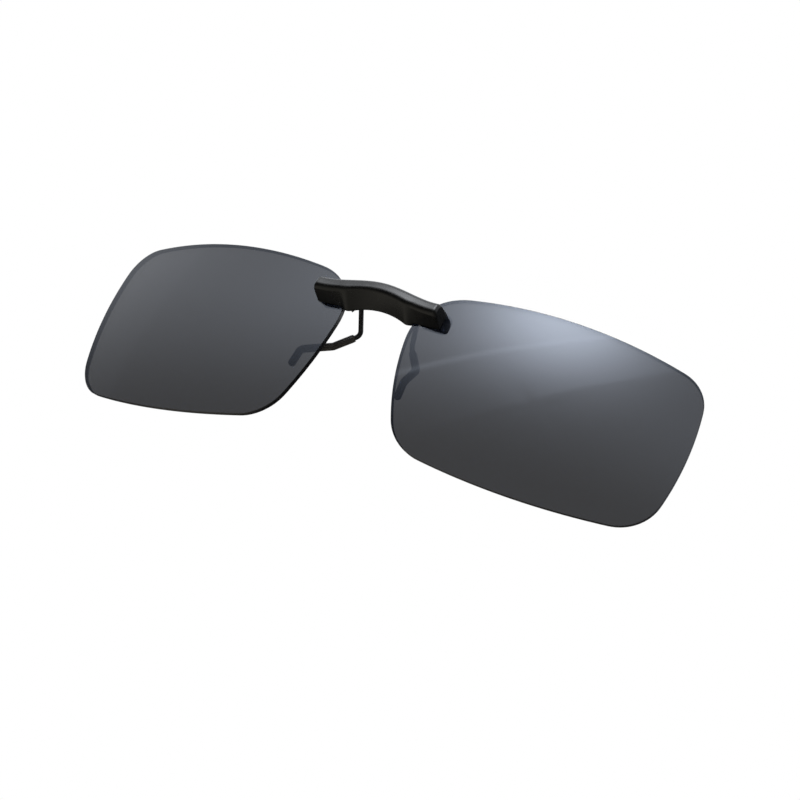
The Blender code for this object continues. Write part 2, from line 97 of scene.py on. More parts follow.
# a thin bright slit between two cards, which fades in over a range of azimuths
STREAK = ((-31.0, 17.0), (-8.0, 30.0))
STREAK_HALF_WIDTH = 1.0
STREAK_FADE = (-36.0, -28.0, 0.0, 1.0)
KEY_AZIMUTH = math.radians(-4.0)
KEY_ELEVATION = math.radians(60.0)
KEY_DISTANCE = 1.2
KEY_SIZE = 0.6
KEY_POWER = 1.5

# ---- lenses, in millimetres from here on, as in the CAD model -----------------------
LENS_CENTRE = Vector((36.7, -0.8, -12.5))
LENS_WRAP = math.radians(12.7)
LENS_RADIUS = 133.0
LENS_THICKNESS = 1.0
LENS_CORNERS = ((-29.4, 14.5), (26.3, 14.7), (25.8, -14.6), (-22.6, -14.6))
SIDE_BOWS = (3.2, 2.2, 2.45, 2.3)
CORNER_SETBACKS = (9.0, 4.9, 6.0, 5.3)
CORNER_FULLNESS = 0.6
SIDE_POINTS = 34
CORNER_POINTS = 14
LENS_RINGS = 14
SIDE_CURVE_POINTS = 400                 # on each bowed side before its ends are trimmed
EDGE_CHAMFER = 0.13
LENS_SHARP = 25                         # degrees from which an edge stays sharp
RIM_MATERIAL = 1                        # the number of the rim's material

# ---- bridge -------------------------------------------------------------------------
BAR_HALF_LENGTH = 13.2
BAR_REAR_Y = -3.1
BAR_ARCH_SPAN = 12.4
RIDGE_END = (-7.7, -2.25)
TOP_EDGE_END = (-6.95, 0.2)
RIDGE_RISE = 1.75
TOP_RISE = 1.45
FRONT_BOW = 0.1
SHOULDER = (5.9, 8.1)                   # the middle's low edge blends into the lobe's
MIDDLE_EDGE = (-4.0, -3.05)
MIDDLE_ARCH = 0.034
LOBE_EDGE = (-3.85, -3.65)
REAR_TOP_DROP = 0.3
REAR_LOW_RISE = (0.5, 0.1)              # in the middle and on the lobes
BAR_ROUNDING = (0.3, 1.1, 1.15, 0.45, 0.2)
MIDDLE_STATIONS, SHOULDER_STATIONS, LOBE_STATIONS = 20, 14, 14
END_FILLET = 0.65
END_SQUARENESS = 0.22                   # how little the lower edge is rounded at the ends
HOUSING_HALF_LENGTH = 5.2
HOUSING_Y = (-3.8, -1.1)
HOUSING_Z = (-1.4, 1.4)
HOUSING_WALL = 0.35
HOUSING_ROUNDING = 0.3
POCKET_FLOOR = 0.3
SPINDLE_SLOT_HALF_LENGTH = 7.5
SEAT_HALF_LENGTH = 7.3
SEAT_SLOPE = 1.2                        # across from the seat's corner to the lobe's
COVER_THICKNESS = 1.0
COVER_STEP_WIDTH = 0.5
LOBE_END_X = 13.6
LOBE_Y = (-2.35, -1.25)
LOBE_Z = (-3.65, 0.1)
LOBE_CORNER = 1.2
LOBE_INNER_CORNER = (-3.2, 1.8)         # its height and its rounding
COVER_ROUNDING = (0.5, 0.6, LOBE_CORNER, LOBE_CORNER, LOBE_INNER_CORNER[1], 0.3, 0.3, 0.3)
COVER_EDGE_ROUNDING = 0.12
LENS_SEAT_GAP = 0.12
LENS_SEAT_DEPTH = 3.0
LENS_SEAT_CHAMFER = 0.05
LENS_EDGE_GAP = 0.25
CLEAR = 9.0                             # past the cover, above and below, for cutting tools

# ---- claws --------------------------------------------------------------------------
AXIS_Y, AXIS_Z = -2.4, 0.0
WIRE_RADIUS = 0.46
SLEEVE_RADIUS = 0.72
SLEEVE_BORE = 0.54
SLEEVE_PAST_WIRE = 1.5
BORE_PAST_WIRE = 0.12
SLEEVE_LIP = ((0.0, 0.07), (0.06, 0.015), (0.14, 0.0))     # shares along and drops in radius
LEG_X = 6.0
SPINDLE_START_X = 1.0
LEG_OUTLET = (6.0, 0.1, -2.6)
FIRST_BEND = (5.55, 2.3, -5.9)
SLEEVE_MOUTH = 0.22                     # share of the way from the first bend to the second
SECOND_BEND = (9.2, 1.13, -10.18)
TIP_BEND = (11.5, -1.93, -13.8)
WIRE_END = (12.1, -1.83, -15.9)
TIP_SPREAD = {"left": (1.8, 1.6), "right": (-1.7, -2.3)}
TIP_LIFT = {"left": 1.05, "right": -0.4}
BEND_RADIUS = 1.3
LEG_SLOT_X = 5.3                        # each slot reaches from here to its lobe
LEG_SLOT_TOP = 0.2
BEARING_RADIUS = 0.56

# ---- upper hooks --------------------------------------------------------------------
PRONG_X = 3.6
PRONG_PATH = ((-0.9, 0.6), (0.6, 0.65), (2.4, 2.5), (3.3, 0.95))
PRONG_BEND_RADIUS = 0.7
PRONG_SLEEVE_RADIUS = 0.68
PRONG_SLEEVE_SHARE = 0.62
PRONG_SLEEVE_PAST_WIRE = 0.4
PRONG_SOCKET_GAP = 0.1
PRONG_SOCKET_Y = (-3.0, 1.0)

# ---- fixings ------------------------------------------------------------------------
SCREW_X, SCREW_Z = 11.9, -1.75
SCREW_HEAD = (0.95, -1.75, -1.15)
SCREW_SHANK = (0.5, -5.8)
SCREW_DOME = 0.2
SCREW_SLOT = (0.28, 0.22)
LENS_HOLE_Y = (-6.0, 0.0)
LENS_SCREW_HOLE = 0.95
PEG_X, PEG_Z = 9.3, -1.8
PEG = (0.5, -4.3, -2.5)
LENS_PEG_HOLE = 0.65
BLIND_HOLE = (0.6, -6.0, -2.0)
COVER_HOLE = (0.62, -4.0, 0.0)
COUNTERBORE = (1.08, -1.8, -0.9)
ROUND_SEGMENTS = 40
TUBE_SIDES = 24
TUBE_SHARP = 50


# ---- node helpers -------------------------------------------------------------------
TEXTURE_MIDDLE = (0.3, 0.7)             # a noise texture seldom goes outside these values


def wire_nodes(tree, pairs):
    for source, target in pairs:
        tree.links.new(source, target)


def noise(tree, coords, scale, detail=3.0, stretch=(1, 1, 1)):
    mapping = tree.nodes.new("ShaderNodeMapping")
    mapping.inputs["Scale"].default_value = stretch
    texture = tree.nodes.new("ShaderNodeTexNoise")
    texture.inputs["Scale"].default_value = scale
    texture.inputs["Detail"].default_value = detail
    wire_nodes(tree, [(coords, mapping.inputs["Vector"]),
                      (mapping.outputs["Vector"], texture.inputs["Vector"])])
    return texture.outputs["Fac"]


def map_range(tree, value, numbers, shape="LINEAR"):
    """Map a value from one range to another: two numbers for each."""
    ranged = tree.nodes.new("ShaderNodeMapRange")
    ranged.interpolation_type = shape
    for name, number in zip(("From Min", "From Max", "To Min", "To Max"), numbers):
        ranged.inputs[name].default_value = number
    tree.links.new(value, ranged.inputs["Value"])
    return ranged.outputs["Result"]


def spread(tree, texture, low, high):
    """Spread the middle of a texture's values over the range from low to high."""
    return map_range(tree, texture, (*TEXTURE_MIDDLE, low, high))


def ramp(tree, texture, dark, light, middle=TEXTURE_MIDDLE):
    colours = tree.nodes.new("ShaderNodeValToRGB")
    for element, place, colour in zip(colours.color_ramp.elements, middle, (dark, light)):
        element.position = place
        element.color = (*colour, 1.0)
    tree.links.new(texture, colours.inputs["Fac"])
    return colours.outputs["Color"]


def bump(tree, height, strength, distance):
    node = tree.nodes.new("ShaderNodeBump")
    node.inputs["Strength"].default_value = strength
    node.inputs["Distance"].default_value = distance
    tree.links.new(height, node.inputs["Height"])
    return node.outputs["Normal"]


def new_material(name):
    """A material with its shader and object coordinates ready."""
    made = bpy.data.materials.new(name)
    made.use_nodes = True
    tree = made.node_tree
    shader = tree.nodes["Principled BSDF"]
    coords = tree.nodes.new("ShaderNodeTexCoord").outputs["Object"]
    return made, tree, shader, coords


# ---- materials ----------------------------------------------------------------------
def smoke_lens_material():
    """Dark sheet seen through at both of its faces, with faint polishing haze."""
    made, tree, shader, coords = new_material("smoke_lens_sheet")
    cloud = noise(tree, coords, 24.0, 2.0)
    haze = noise(tree, coords, 60.0, 2.0, (1.0, 1.0, 0.35))
    shader.inputs["Alpha"].default_value = 0.79
    shader.inputs["IOR"].default_value = 1.57
    shader.inputs["Specular Tint"].default_value = (0.78, 0.85, 0.98, 1.0)
    wire_nodes(tree, [
        (ramp(tree, cloud, (0.002, 0.0027, 0.0055), (0.0035, 0.0044, 0.008)),
         shader.inputs["Base Color"]),
        (spread(tree, haze, 0.03, 0.045), shader.inputs["Roughness"])])
    return made


def lens_edge_material():
    """Polished rim, black because it is seen along the tinted sheet."""
    made, tree, shader, coords = new_material("smoke_lens_rim")
    polish = noise(tree, coords, 1800.0, 3.0)
    shader.inputs["IOR"].default_value = 1.57
    wire_nodes(tree, [
        (ramp(tree, polish, (0.0015, 0.0015, 0.002), (0.005, 0.005, 0.006)),
         shader.inputs["Base Color"]),
        (spread(tree, polish, 0.16, 0.3), shader.inputs["Roughness"])])
    return made


def plastic_material():
    """Satin moulding with a spark-eroded grain and faintly uneven gloss."""
    made, tree, shader, coords = new_material("satin_black_moulding")
    grain = noise(tree, coords, 5200.0, 2.0)
    patch = noise(tree, coords, 420.0, 4.0)
    shader.inputs["IOR"].default_value = 1.46
    wire_nodes(tree, [
        (ramp(tree, patch, (0.0022, 0.0022, 0.0021), (0.0034, 0.0034, 0.0032)),
         shader.inputs["Base Color"]),
        (spread(tree, patch, 0.25, 0.33), shader.inputs["Roughness"]),
        (bump(tree, grain, 0.12, 0.00003), shader.inputs["Normal"])])
    return made


def coated_wire_material():
    """Black paint on drawn wire, thin in flecks."""
    made, tree, shader, coords = new_material("black_coated_wire")
    fleck = noise(tree, coords, 2600.0, 3.0)
    drag = noise(tree, coords, 900.0, 3.0)
    shader.inputs["IOR"].default_value = 1.5
    wire_nodes(tree, [
        (ramp(tree, fleck, (0.006, 0.006, 0.006), (0.02, 0.019, 0.018), (0.45, 0.75)),
         shader.inputs["Base Color"]),
        (spread(tree, drag, 0.24, 0.4), shader.inputs["Roughness"]),
        (bump(tree, fleck, 0.1, 0.00002), shader.inputs["Normal"])])
    return made


def silicone_material():
    """Smoky rubber that lets some light in."""
    made, tree, shader, coords = new_material("smoky_silicone")
    milk = noise(tree, coords, 700.0, 3.0)
    skin = noise(tree, coords, 3000.0, 2.0)
    shader.inputs["IOR"].default_value = 1.41
    shader.inputs["Transmission Weight"].default_value = 0.45
    wire_nodes(tree, [
        (ramp(tree, milk, (0.02, 0.018, 0.015), (0.05, 0.043, 0.034)),
         shader.inputs["Base Color"]),
        (spread(tree, milk, 0.3, 0.45), shader.inputs["Roughness"]),
        (bump(tree, skin, 0.08, 0.00002), shader.inputs["Normal"])])
    return made


def steel_material():
    made, tree, shader, coords = new_material("bright_steel")
    brushing = noise(tree, coords, 1500.0, 3.0, (1.0, 1.0, 9.0))
    shader.inputs["Metallic"].default_value = 1.0
    wire_nodes(tree, [
        (ramp(tree, brushing, (0.5, 0.5, 0.51), (0.66, 0.66, 0.67)), shader.inputs["Base Color"]),
        (spread(tree, brushing, 0.2, 0.36), shader.inputs["Roughness"])])
    return made


def nylon_material():
    made, tree, shader, coords = new_material("natural_nylon")
    milk = noise(tree, coords, 900.0, 3.0)
    shader.inputs["IOR"].default_value = 1.53
    wire_nodes(tree, [
        (ramp(tree, milk, (0.66, 0.65, 0.6), (0.78, 0.77, 0.73)), shader.inputs["Base Color"]),
        (spread(tree, milk, 0.4, 0.55), shader.inputs["Roughness"])])
    return made


# ---- object helpers -----------------------------------------------------------------
def collection(name):
    found = bpy.data.collections.get(name)
    if not found:
        found = bpy.data.collections.new(name)
        bpy.context.scene.collection.children.link(found)
    return found


def mesh_from(name, bm, sharp=35):
    bmesh.ops.recalc_face_normals(bm, faces=bm.faces)
    mesh = bpy.data.meshes.new(name)
    bm.to_mesh(mesh)
    bm.free()
    mesh.shade_smooth()
    mesh.set_sharp_from_angle(angle=math.radians(sharp))
    return mesh


def new_object(name, mesh, group=PIECES):
    made = bpy.data.objects.new(name, mesh)
    collection(group).objects.link(made)
    return made


def apply_modifiers(target):
    bpy.context.view_layer.update()
    evaluated = target.evaluated_get(bpy.context.evaluated_depsgraph_get())
    mesh = bpy.data.meshes.new_from_object(evaluated)
    target.modifiers.clear()
    target.data = mesh


def shade(target, sharp=35):
    """Shade smooth, and sharp at edges that turn by more than an angle in degrees."""
    target.data.shade_smooth()
    target.data.set_sharp_from_angle(angle=math.radians(sharp))


def cut(target, cutter, operation="DIFFERENCE"):
    """Apply a Boolean with a tool that is then thrown away."""
    step = target.modifiers.new("cut", "BOOLEAN")
    step.operation = operation
    step.object = cutter
    apply_modifiers(target)
    bpy.data.objects.remove(cutter, do_unlink=True)


def round_edges(target, width):
    step = target.modifiers.new("rounding", "BEVEL")
    step.width = width * MM
    step.segments = 3
    step.limit_method = "ANGLE"
    step.angle_limit = math.radians(40)
    apply_modifiers(target)
    shade(target)


def finish_piece(piece, body, node, slot, *finishes):
    """Give a piece its materials and its body, and hide the CAD node it stands for. The slot is
    not used.
    """
    numbers = [face.material_index for face in piece.data.polygons]
    piece.data.materials.clear()
    for finish in finishes:
        piece.data.materials.append(finish)
    for face, number in zip(piece.data.polygons, numbers):
        face.material_index = min(number, len(finishes) - 1)
    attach(piece, body)
    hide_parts(node)


def box(name, low, high):
    """A cutting tool between two corners."""
    low, high = Vector(low), Vector(high)
    bm = bmesh.new()
    bmesh.ops.create_cube(bm, size=1.0)
    size = Matrix.Diagonal((*((high - low) * MM), 1.0))
    place = Matrix.Translation((low + high) * MM / 2)
    bmesh.ops.transform(bm, matrix=place @ size, verts=bm.verts)
    return new_object(name, mesh_from(name, bm), TOOLS)


def rod(name, radius, ends, x, z):
    """A round rod along Y between two values of y, to cut or to join."""
    bm = bmesh.new()
    bmesh.ops.create_cone(bm, cap_ends=True, segments=ROUND_SEGMENTS, radius1=radius * MM,
                          radius2=radius * MM, depth=(ends[1] - ends[0]) * MM)
    place = Matrix.Translation(Vector((x, sum(ends) / 2, z)) * MM)
    bmesh.ops.transform(bm, matrix=place @ Matrix.Rotation(math.pi / 2, 4, "X"), verts=bm.verts)
    return new_object(name, mesh_from(name, bm), TOOLS)


def add_ring(bm, points):
    return [bm.verts.new(point * MM) for point in points]


def join_rings(bm, rings):
    """Faces between each ring and the next, in the order of the rings."""
    rows = []
    for first, second in zip(rings, rings[1:]):
        row = []
        for index in range(len(first)):
            after = (index + 1) % len(first)
            row.append(bm.faces.new((first[index], first[after], second[after], second[index])))
        rows.append(row)
    return rows


def loft(name, loops, sharp=35, group=PIECES):
    """A closed body through the loops of points, with a flat face at each end."""
    bm = bmesh.new()
    rings = [add_ring(bm, loop) for loop in loops]
    join_rings(bm, rings)
    bm.faces.new(rings[0])
    bm.faces.new(rings[-1])
    return new_object(name, mesh_from(name, bm, sharp), group)


def turned(name, profile, x, z):
    """A solid of revolution about a line along Y, from pairs of radius and y."""
    turns = [2 * math.pi * step / ROUND_SEGMENTS for step in range(ROUND_SEGMENTS)]
    return loft(name, [[Vector((x + radius * math.cos(turn), y, z + radius * math.sin(turn)))
                        for turn in turns] for radius, y in profile])


def fillet(before, corner, after, radius, steps):
    """Points of the arc that rounds a corner, at most as large as its two sides allow."""
    back, ahead = (before - corner), (after - corner)
    angle = back.angle(ahead)
    reach = min(radius / math.tan(angle / 2), 0.48 * back.length, 0.48 * ahead.length)
    start = corner + back.normalized() * reach
    end = corner + ahead.normalized() * reach
    inward = (back.normalized() + ahead.normalized()).normalized()
    centre = corner + inward * (reach / math.cos(angle / 2))
    points = []
    for step in range(steps + 1):
        mixed = start.lerp(end, step / steps) - centre
        points.append(centre + mixed.normalized() * (start - centre).length)
    return points


def rounded_loop(corners, radii, steps=8):
    """A closed outline with each corner rounded by its own radius."""
    corners = [Vector(corner) for corner in corners]
    points = []
    for index, corner in enumerate(corners):
        after = corners[(index + 1) % len(corners)]
        points += fillet(corners[index - 1], corner, after, radii[index], steps)
    return points


def rounded_path(corners, radius, steps=12):
    """An open path with its bends rounded."""
    corners = [Vector(corner) for corner in corners]
    points = [corners[0]]
    for before, corner, after in zip(corners, corners[1:], corners[2:]):
        points += fillet(before, corner, after, radius, steps)
    return points + [corners[-1]]


def tube(name, points, radii, group=PIECES):
    """A closed round tube along the points, with a radius at each point."""
    tangents = []
    for index in range(len(points)):
        ahead = points[min(index + 1, len(points) - 1)] - points[max(index - 1, 0)]
        tangents.append(ahead.normalized())
    normal = tangents[0].orthogonal().normalized()
    loops = []
    for index, (point, tangent, radius) in enumerate(zip(points, tangents, radii)):
        if index:
            normal = tangents[index - 1].rotation_difference(tangent) @ normal
        binormal = tangent.cross(normal)
        loop = []
        for step in range(TUBE_SIDES):
            turn = 2 * math.pi * step / TUBE_SIDES
            loop.append(point + (normal * math.cos(turn) + binormal * math.sin(turn)) * radius)
        loops.append(loop)
    return loft(name, loops, TUBE_SHARP, group)


def rounded_tip(path, radius, steps=7):
    """The path's points and their radii, with its end rounded off."""
    points = list(path[:-1])
    radii = [radius] * len(points)
    tail = (path[-1] - path[-2]).normalized()
    base = path[-1] - tail * radius
    for step in range(steps + 1):
        turn = math.pi / 2 * step / steps * 0.97
        points.append(base + tail * radius * math.sin(turn))
        radii.append(radius * math.cos(turn))
    return points, radii


def prism(name, outline, ends):
    """A plate with an outline in X and Z, between two values of y."""
    bm = bmesh.new()
    face = bm.faces.new(add_ring(bm, [Vector((x, ends[0], z)) for x, z in outline]))
    grown = bmesh.ops.extrude_face_region(bm, geom=[face])
    moved = [item for item in grown["geom"] if isinstance(item, bmesh.types.BMVert)]
    bmesh.ops.translate(bm, verts=moved, vec=(0, (ends[1] - ends[0]) * MM, 0))
    return new_object(name, mesh_from(name, bm))


# ---- lenses -------------------------------------------------------------------------
def bowed_side(start, end, bow, count):
    """Points along an arc that stands out from its chord by the bow."""
    start, end = Vector(start), Vector(end)
    chord = end - start
    radius = (chord.length ** 2 / 4 + bow ** 2) / (2 * bow)
    outward = Vector((-chord.y, chord.x)).normalized()
    centre = (start + end) / 2 + outward * (bow - radius)
    half = math.asin(chord.length / 2 / radius)
    points = []
    for step in range(count):
        turn = half * (1 - 2 * step / (count - 1))
        along = Vector((outward.x * math.cos(turn) - outward.y * math.sin(turn),
                        outward.x * math.sin(turn) + outward.y * math.cos(turn)))
        points.append(centre + along * radius)
    return points


def trim(points, start, end):
    """Evenly spaced points along a side, less a length at each end."""
    step = (points[1] - points[0]).length
    first, last = start / step, len(points) - 1 - end / step
    picked = []
    for n in range(SIDE_POINTS):
        place = first + (last - first) * n / (SIDE_POINTS - 1)
        whole = int(place)
        picked.append(points[whole].lerp(points[whole + 1], place - whole))
    return picked


def corner_curve(side, following):
    """Points of the full, soft curve from the end of one side to the start of the next."""
    start, end = side[-1], following[0]
    leave = (side[-1] - side[-2]).normalized()
    arrive = (following[1] - following[0]).normalized()
    gap = end - start
    cross = leave.x * arrive.y - leave.y * arrive.x
    out_reach = (gap.x * arrive.y - gap.y * arrive.x) / cross
    in_reach = (gap.y * leave.x - gap.x * leave.y) / -cross
    first = start + leave * out_reach * CORNER_FULLNESS
    second = end - arrive * abs(in_reach) * CORNER_FULLNESS
    points = []
    for step in range(1, CORNER_POINTS + 1):
        t = step / (CORNER_POINTS + 1)
        points.append(start * (1 - t) ** 3 + first * 3 * t * (1 - t) ** 2
                      + second * 3 * t ** 2 * (1 - t) + end * t ** 3)
    return points


def lens_outline(grow):
    """The lens's outline before it is dished, moved outwards by a distance."""
    count = len(LENS_CORNERS)
    sides = []
    for index in range(count):
        after = (index + 1) % count
        dense = bowed_side(LENS_CORNERS[index], LENS_CORNERS[after], SIDE_BOWS[index],
                           SIDE_CURVE_POINTS)
        sides.append(trim(dense, CORNER_SETBACKS[index], CORNER_SETBACKS[after]))
    points = []
    for index, side in enumerate(sides):
        points += side + corner_curve(side, sides[(index + 1) % count])
    grown = []
    for index, point in enumerate(points):
        along = points[(index + 1) % len(points)] - points[index - 1]
        grown.append(point + Vector((-along.y, along.x)).normalized() * grow)
    return grown


def on_lens(u, v, side, depth):
    """A point at a depth behind the lens's front surface."""
    rim = math.sqrt(LENS_RADIUS ** 2 - u * u - v * v)
    scale = (LENS_RADIUS - depth) / LENS_RADIUS
    across, up, sag = u * scale, v * scale, LENS_RADIUS - rim * scale
    x = LENS_CENTRE.x + across * math.cos(LENS_WRAP) - sag * math.sin(LENS_WRAP)
    y = LENS_CENTRE.y + across * math.sin(LENS_WRAP) + sag * math.cos(LENS_WRAP)
    return Vector((side * x, y, LENS_CENTRE.z + up))


def lens_body(name, side, front, rear, grow, chamfer, group=PIECES):
    """A dished plate between two depths, with its edge chamfered on both faces."""
    outline, inset = lens_outline(grow), lens_outline(grow - chamfer)
    shares = [math.sin(math.pi / 2 * ring / LENS_RINGS) for ring in range(1, LENS_RINGS + 1)]
    loops = [[(p * share, front) for p in inset] for share in shares]
    loops.append([(p, front + chamfer) for p in outline])
    loops.append([(p, rear - chamfer) for p in outline])
    loops += [[(p * share, rear) for p in inset] for share in reversed(shares)]
    bm = bmesh.new()
    rings = [add_ring(bm, [on_lens(p.x, p.y, side, depth) for p, depth in loop])
             for loop in loops]
    for row in join_rings(bm, rings)[LENS_RINGS - 1:LENS_RINGS + 2]:
        for face in row:
            face.material_index = RIM_MATERIAL
    for ring, depth in ((rings[0], front), (rings[-1], rear)):
        centre = bm.verts.new(on_lens(0, 0, side, depth) * MM)
        for index in range(len(outline)):
            bm.faces.new((ring[index], ring[(index + 1) % len(outline)], centre))
    return new_object(name, mesh_from(name, bm, LENS_SHARP), group)


def build_lens(side_name, finish, rim_finish):
    side = SIDES[side_name]
    lens = lens_body(side_name + "_sun_lens", side, 0.0, LENS_THICKNESS, 0.0, EDGE_CHAMFER)
    cut(lens, rod("hole", LENS_SCREW_HOLE, LENS_HOLE_Y, side * SCREW_X, SCREW_Z))
    cut(lens, rod("hole", LENS_PEG_HOLE, LENS_HOLE_Y, side * PEG_X, PEG_Z))
    shade(lens, LENS_SHARP)
    finish_piece(lens, "clip", side_name + "_lens", "smoke_lens", finish, rim_finish)


# ---- bridge -------------------------------------------------------------------------
def bar_section(x):
    """Rounded section of the arched bar in Y and Z at a distance from the middle."""
    rise = 0.5 + 0.5 * math.cos(math.pi * min(x / BAR_ARCH_SPAN, 1.0))
    ridge = (RIDGE_END[0] - FRONT_BOW * rise, RIDGE_END[1] + RIDGE_RISE * rise)
    top = (TOP_EDGE_END[0] - FRONT_BOW * rise, TOP_EDGE_END[1] + TOP_RISE * rise)
    share = min(max((x - SHOULDER[0]) / (SHOULDER[1] - SHOULDER[0]), 0.0), 1.0)
    share *= share * (3 - 2 * share)
    arch = Vector((MIDDLE_EDGE[0], MIDDLE_EDGE[1] - MIDDLE_ARCH * x * x))
    low = arch.lerp(Vector(LOBE_EDGE), share)
    rear_rise = REAR_LOW_RISE[0] + (REAR_LOW_RISE[1] - REAR_LOW_RISE[0]) * share
    rear_low = (BAR_REAR_Y, low[1] + rear_rise)
    rear_top = (BAR_REAR_Y, top[1] - REAR_TOP_DROP)
    loop = rounded_loop((rear_top, top, ridge, low, rear_low), BAR_ROUNDING)
    depth = x - (BAR_HALF_LENGTH - END_FILLET)
    if depth <= 0:
        return loop
    inset = END_FILLET - math.sqrt(max(END_FILLET ** 2 - depth ** 2, 0.0))
    middle = low[1] + (top[1] - low[1]) * END_SQUARENESS
    shrink_z = 1 - inset / (top[1] - middle)
    shrink_y = 1 - inset / (BAR_REAR_Y - ridge[0])
    return [Vector((BAR_REAR_Y + (p.x - BAR_REAR_Y) * shrink_y,
                    middle + (p.y - middle) * shrink_z)) for p in loop]


def bar_stations():
    """Distances from the middle at which the bar has a section, closest at its rounded end."""
    end_start = BAR_HALF_LENGTH - END_FILLET
    shoulder_length, lobe_length = SHOULDER[1] - SHOULDER[0], end_start - SHOULDER[1]
    middle = [SHOULDER[0] * step / MIDDLE_STATIONS for step in range(MIDDLE_STATIONS)]
    shoulder = [SHOULDER[0] + shoulder_length * step / SHOULDER_STATIONS
                for step in range(SHOULDER_STATIONS)]
    lobe = [SHOULDER[1] + lobe_length * step / LOBE_STATIONS for step in range(LOBE_STATIONS + 1)]
    end = [end_start + END_FILLET * math.sin(math.radians(turn)) for turn in range(10, 86, 10)]
    return middle + shoulder + lobe + end


def build_bar():
    stations = bar_stations()
    return loft("bridge_shell", [[Vector((x, p.x, p.y)) for p in bar_section(abs(x))]
                                 for x in [-x for x in reversed(stations[1:])] + stations])


def build_front_shell(finish):
    """Bar and spring housing, with seats and pegs for the lenses and blind holes for screws."""
    shell = build_bar()
    housing = box("housing", (-HOUSING_HALF_LENGTH, HOUSING_Y[0], HOUSING_Z[0]),
                  (HOUSING_HALF_LENGTH, HOUSING_Y[1], HOUSING_Z[1]))
    round_edges(housing, HOUSING_ROUNDING)
    cut(shell, housing, "UNION")
    cut(shell, box("pocket", (-HOUSING_HALF_LENGTH + HOUSING_WALL, HOUSING_Y[0] + POCKET_FLOOR,
                              HOUSING_Z[0] + HOUSING_WALL),
                   (HOUSING_HALF_LENGTH - HOUSING_WALL, 0.0, HOUSING_Z[1] - HOUSING_WALL)))
    cut(shell, box("slot", (-SPINDLE_SLOT_HALF_LENGTH, AXIS_Y - BEARING_RADIUS,
                            AXIS_Z - BEARING_RADIUS),
                   (SPINDLE_SLOT_HALF_LENGTH, 0.0, AXIS_Z + BEARING_RADIUS)))
    for side in SIDES.values():
        cut(shell, lens_body("seat", side, -LENS_SEAT_GAP, LENS_SEAT_DEPTH, LENS_EDGE_GAP,
                             LENS_SEAT_CHAMFER, TOOLS))
        cut(shell, rod("peg", PEG[0], PEG[1:], side * PEG_X, PEG_Z), "UNION")
        cut(shell, rod("hole", BLIND_HOLE[0], BLIND_HOLE[1:], side * SCREW_X, SCREW_Z))
    shade(shell, 40)
    finish_piece(shell, "clip", "bridge_front_shell", "bridge_plastic", finish)


def cover_outline():
    right = ((SEAT_HALF_LENGTH, HOUSING_Z[1]), (SEAT_HALF_LENGTH + SEAT_SLOPE, LOBE_Z[1]),
             (LOBE_END_X, LOBE_Z[1]), (LOBE_END_X, LOBE_Z[0]),
             (SEAT_HALF_LENGTH, LOBE_INNER_CORNER[0]), (SEAT_HALF_LENGTH, LEG_SLOT_TOP),
             (LEG_SLOT_X, LEG_SLOT_TOP), (LEG_SLOT_X, HOUSING_Z[0]))
    left = tuple((-x, z) for x, z in reversed(right))
    return rounded_loop(right + left, COVER_ROUNDING + tuple(reversed(COVER_ROUNDING)))


def build_rear_cover(finish):
    """Plate with the seat, a lobe behind each lens and the holes for screws and hooks."""
    plate = prism("bridge_cover", cover_outline(), (LOBE_Y[0], 0.0))
    cut(plate, box("hollow", (-SEAT_HALF_LENGTH + COVER_STEP_WIDTH, LOBE_Y[0] - 1, -CLEAR),
                   (SEAT_HALF_LENGTH - COVER_STEP_WIDTH, -COVER_THICKNESS, CLEAR)))
    for side in SIDES.values():
        near, far = sorted((side * (SEAT_HALF_LENGTH + COVER_STEP_WIDTH), side * (LOBE_END_X + 1)))
        cut(plate, box("relief", (near, LOBE_Y[1], -CLEAR), (far, 1, CLEAR)))
    round_edges(plate, COVER_EDGE_ROUNDING)
    for side in SIDES.values():
        cut(plate, rod("hole", COVER_HOLE[0], COVER_HOLE[1:], side * SCREW_X, SCREW_Z))
        cut(plate, rod("sink", COUNTERBORE[0], COUNTERBORE[1:], side * SCREW_X, SCREW_Z))
        cut(plate, rod("socket", WIRE_RADIUS + PRONG_SOCKET_GAP, PRONG_SOCKET_Y, side * PRONG_X,
                       PRONG_PATH[0][1]))
    shade(plate)
    finish_piece(plate, "clip", "bridge_rear_cover", "bridge_plastic", finish)


# ---- fixings ------------------------------------------------------------------------
def build_screw(side_name, finish):
    """Lens screw: a domed, slotted head on a shank with a pointed end."""
    x = SIDES[side_name] * SCREW_X
    radius, under, top = SCREW_HEAD
    shank, end = SCREW_SHANK
    dome = [(radius * math.cos(turn), top - SCREW_DOME + SCREW_DOME * math.sin(turn))
            for turn in (math.pi / 2 * step / 8 for step in range(8))]
    profile = [(0.12, end), (shank * 0.7, end + 0.15), (shank, end + 0.5), (shank, under)]
    profile += [(radius - 0.06, under), (radius, under + 0.06)] + dome + [(0.05, top)]
    screw = turned(side_name + "_cover_screw", profile, x, SCREW_Z)
    width, depth = SCREW_SLOT
    cut(screw, box("slot", (x - width / 2, top - depth, SCREW_Z - 2),
                   (x + width / 2, top + 1, SCREW_Z + 2)))
    shade(screw)
    finish_piece(screw, "clip", side_name + "_lens_screw", "steel", finish)


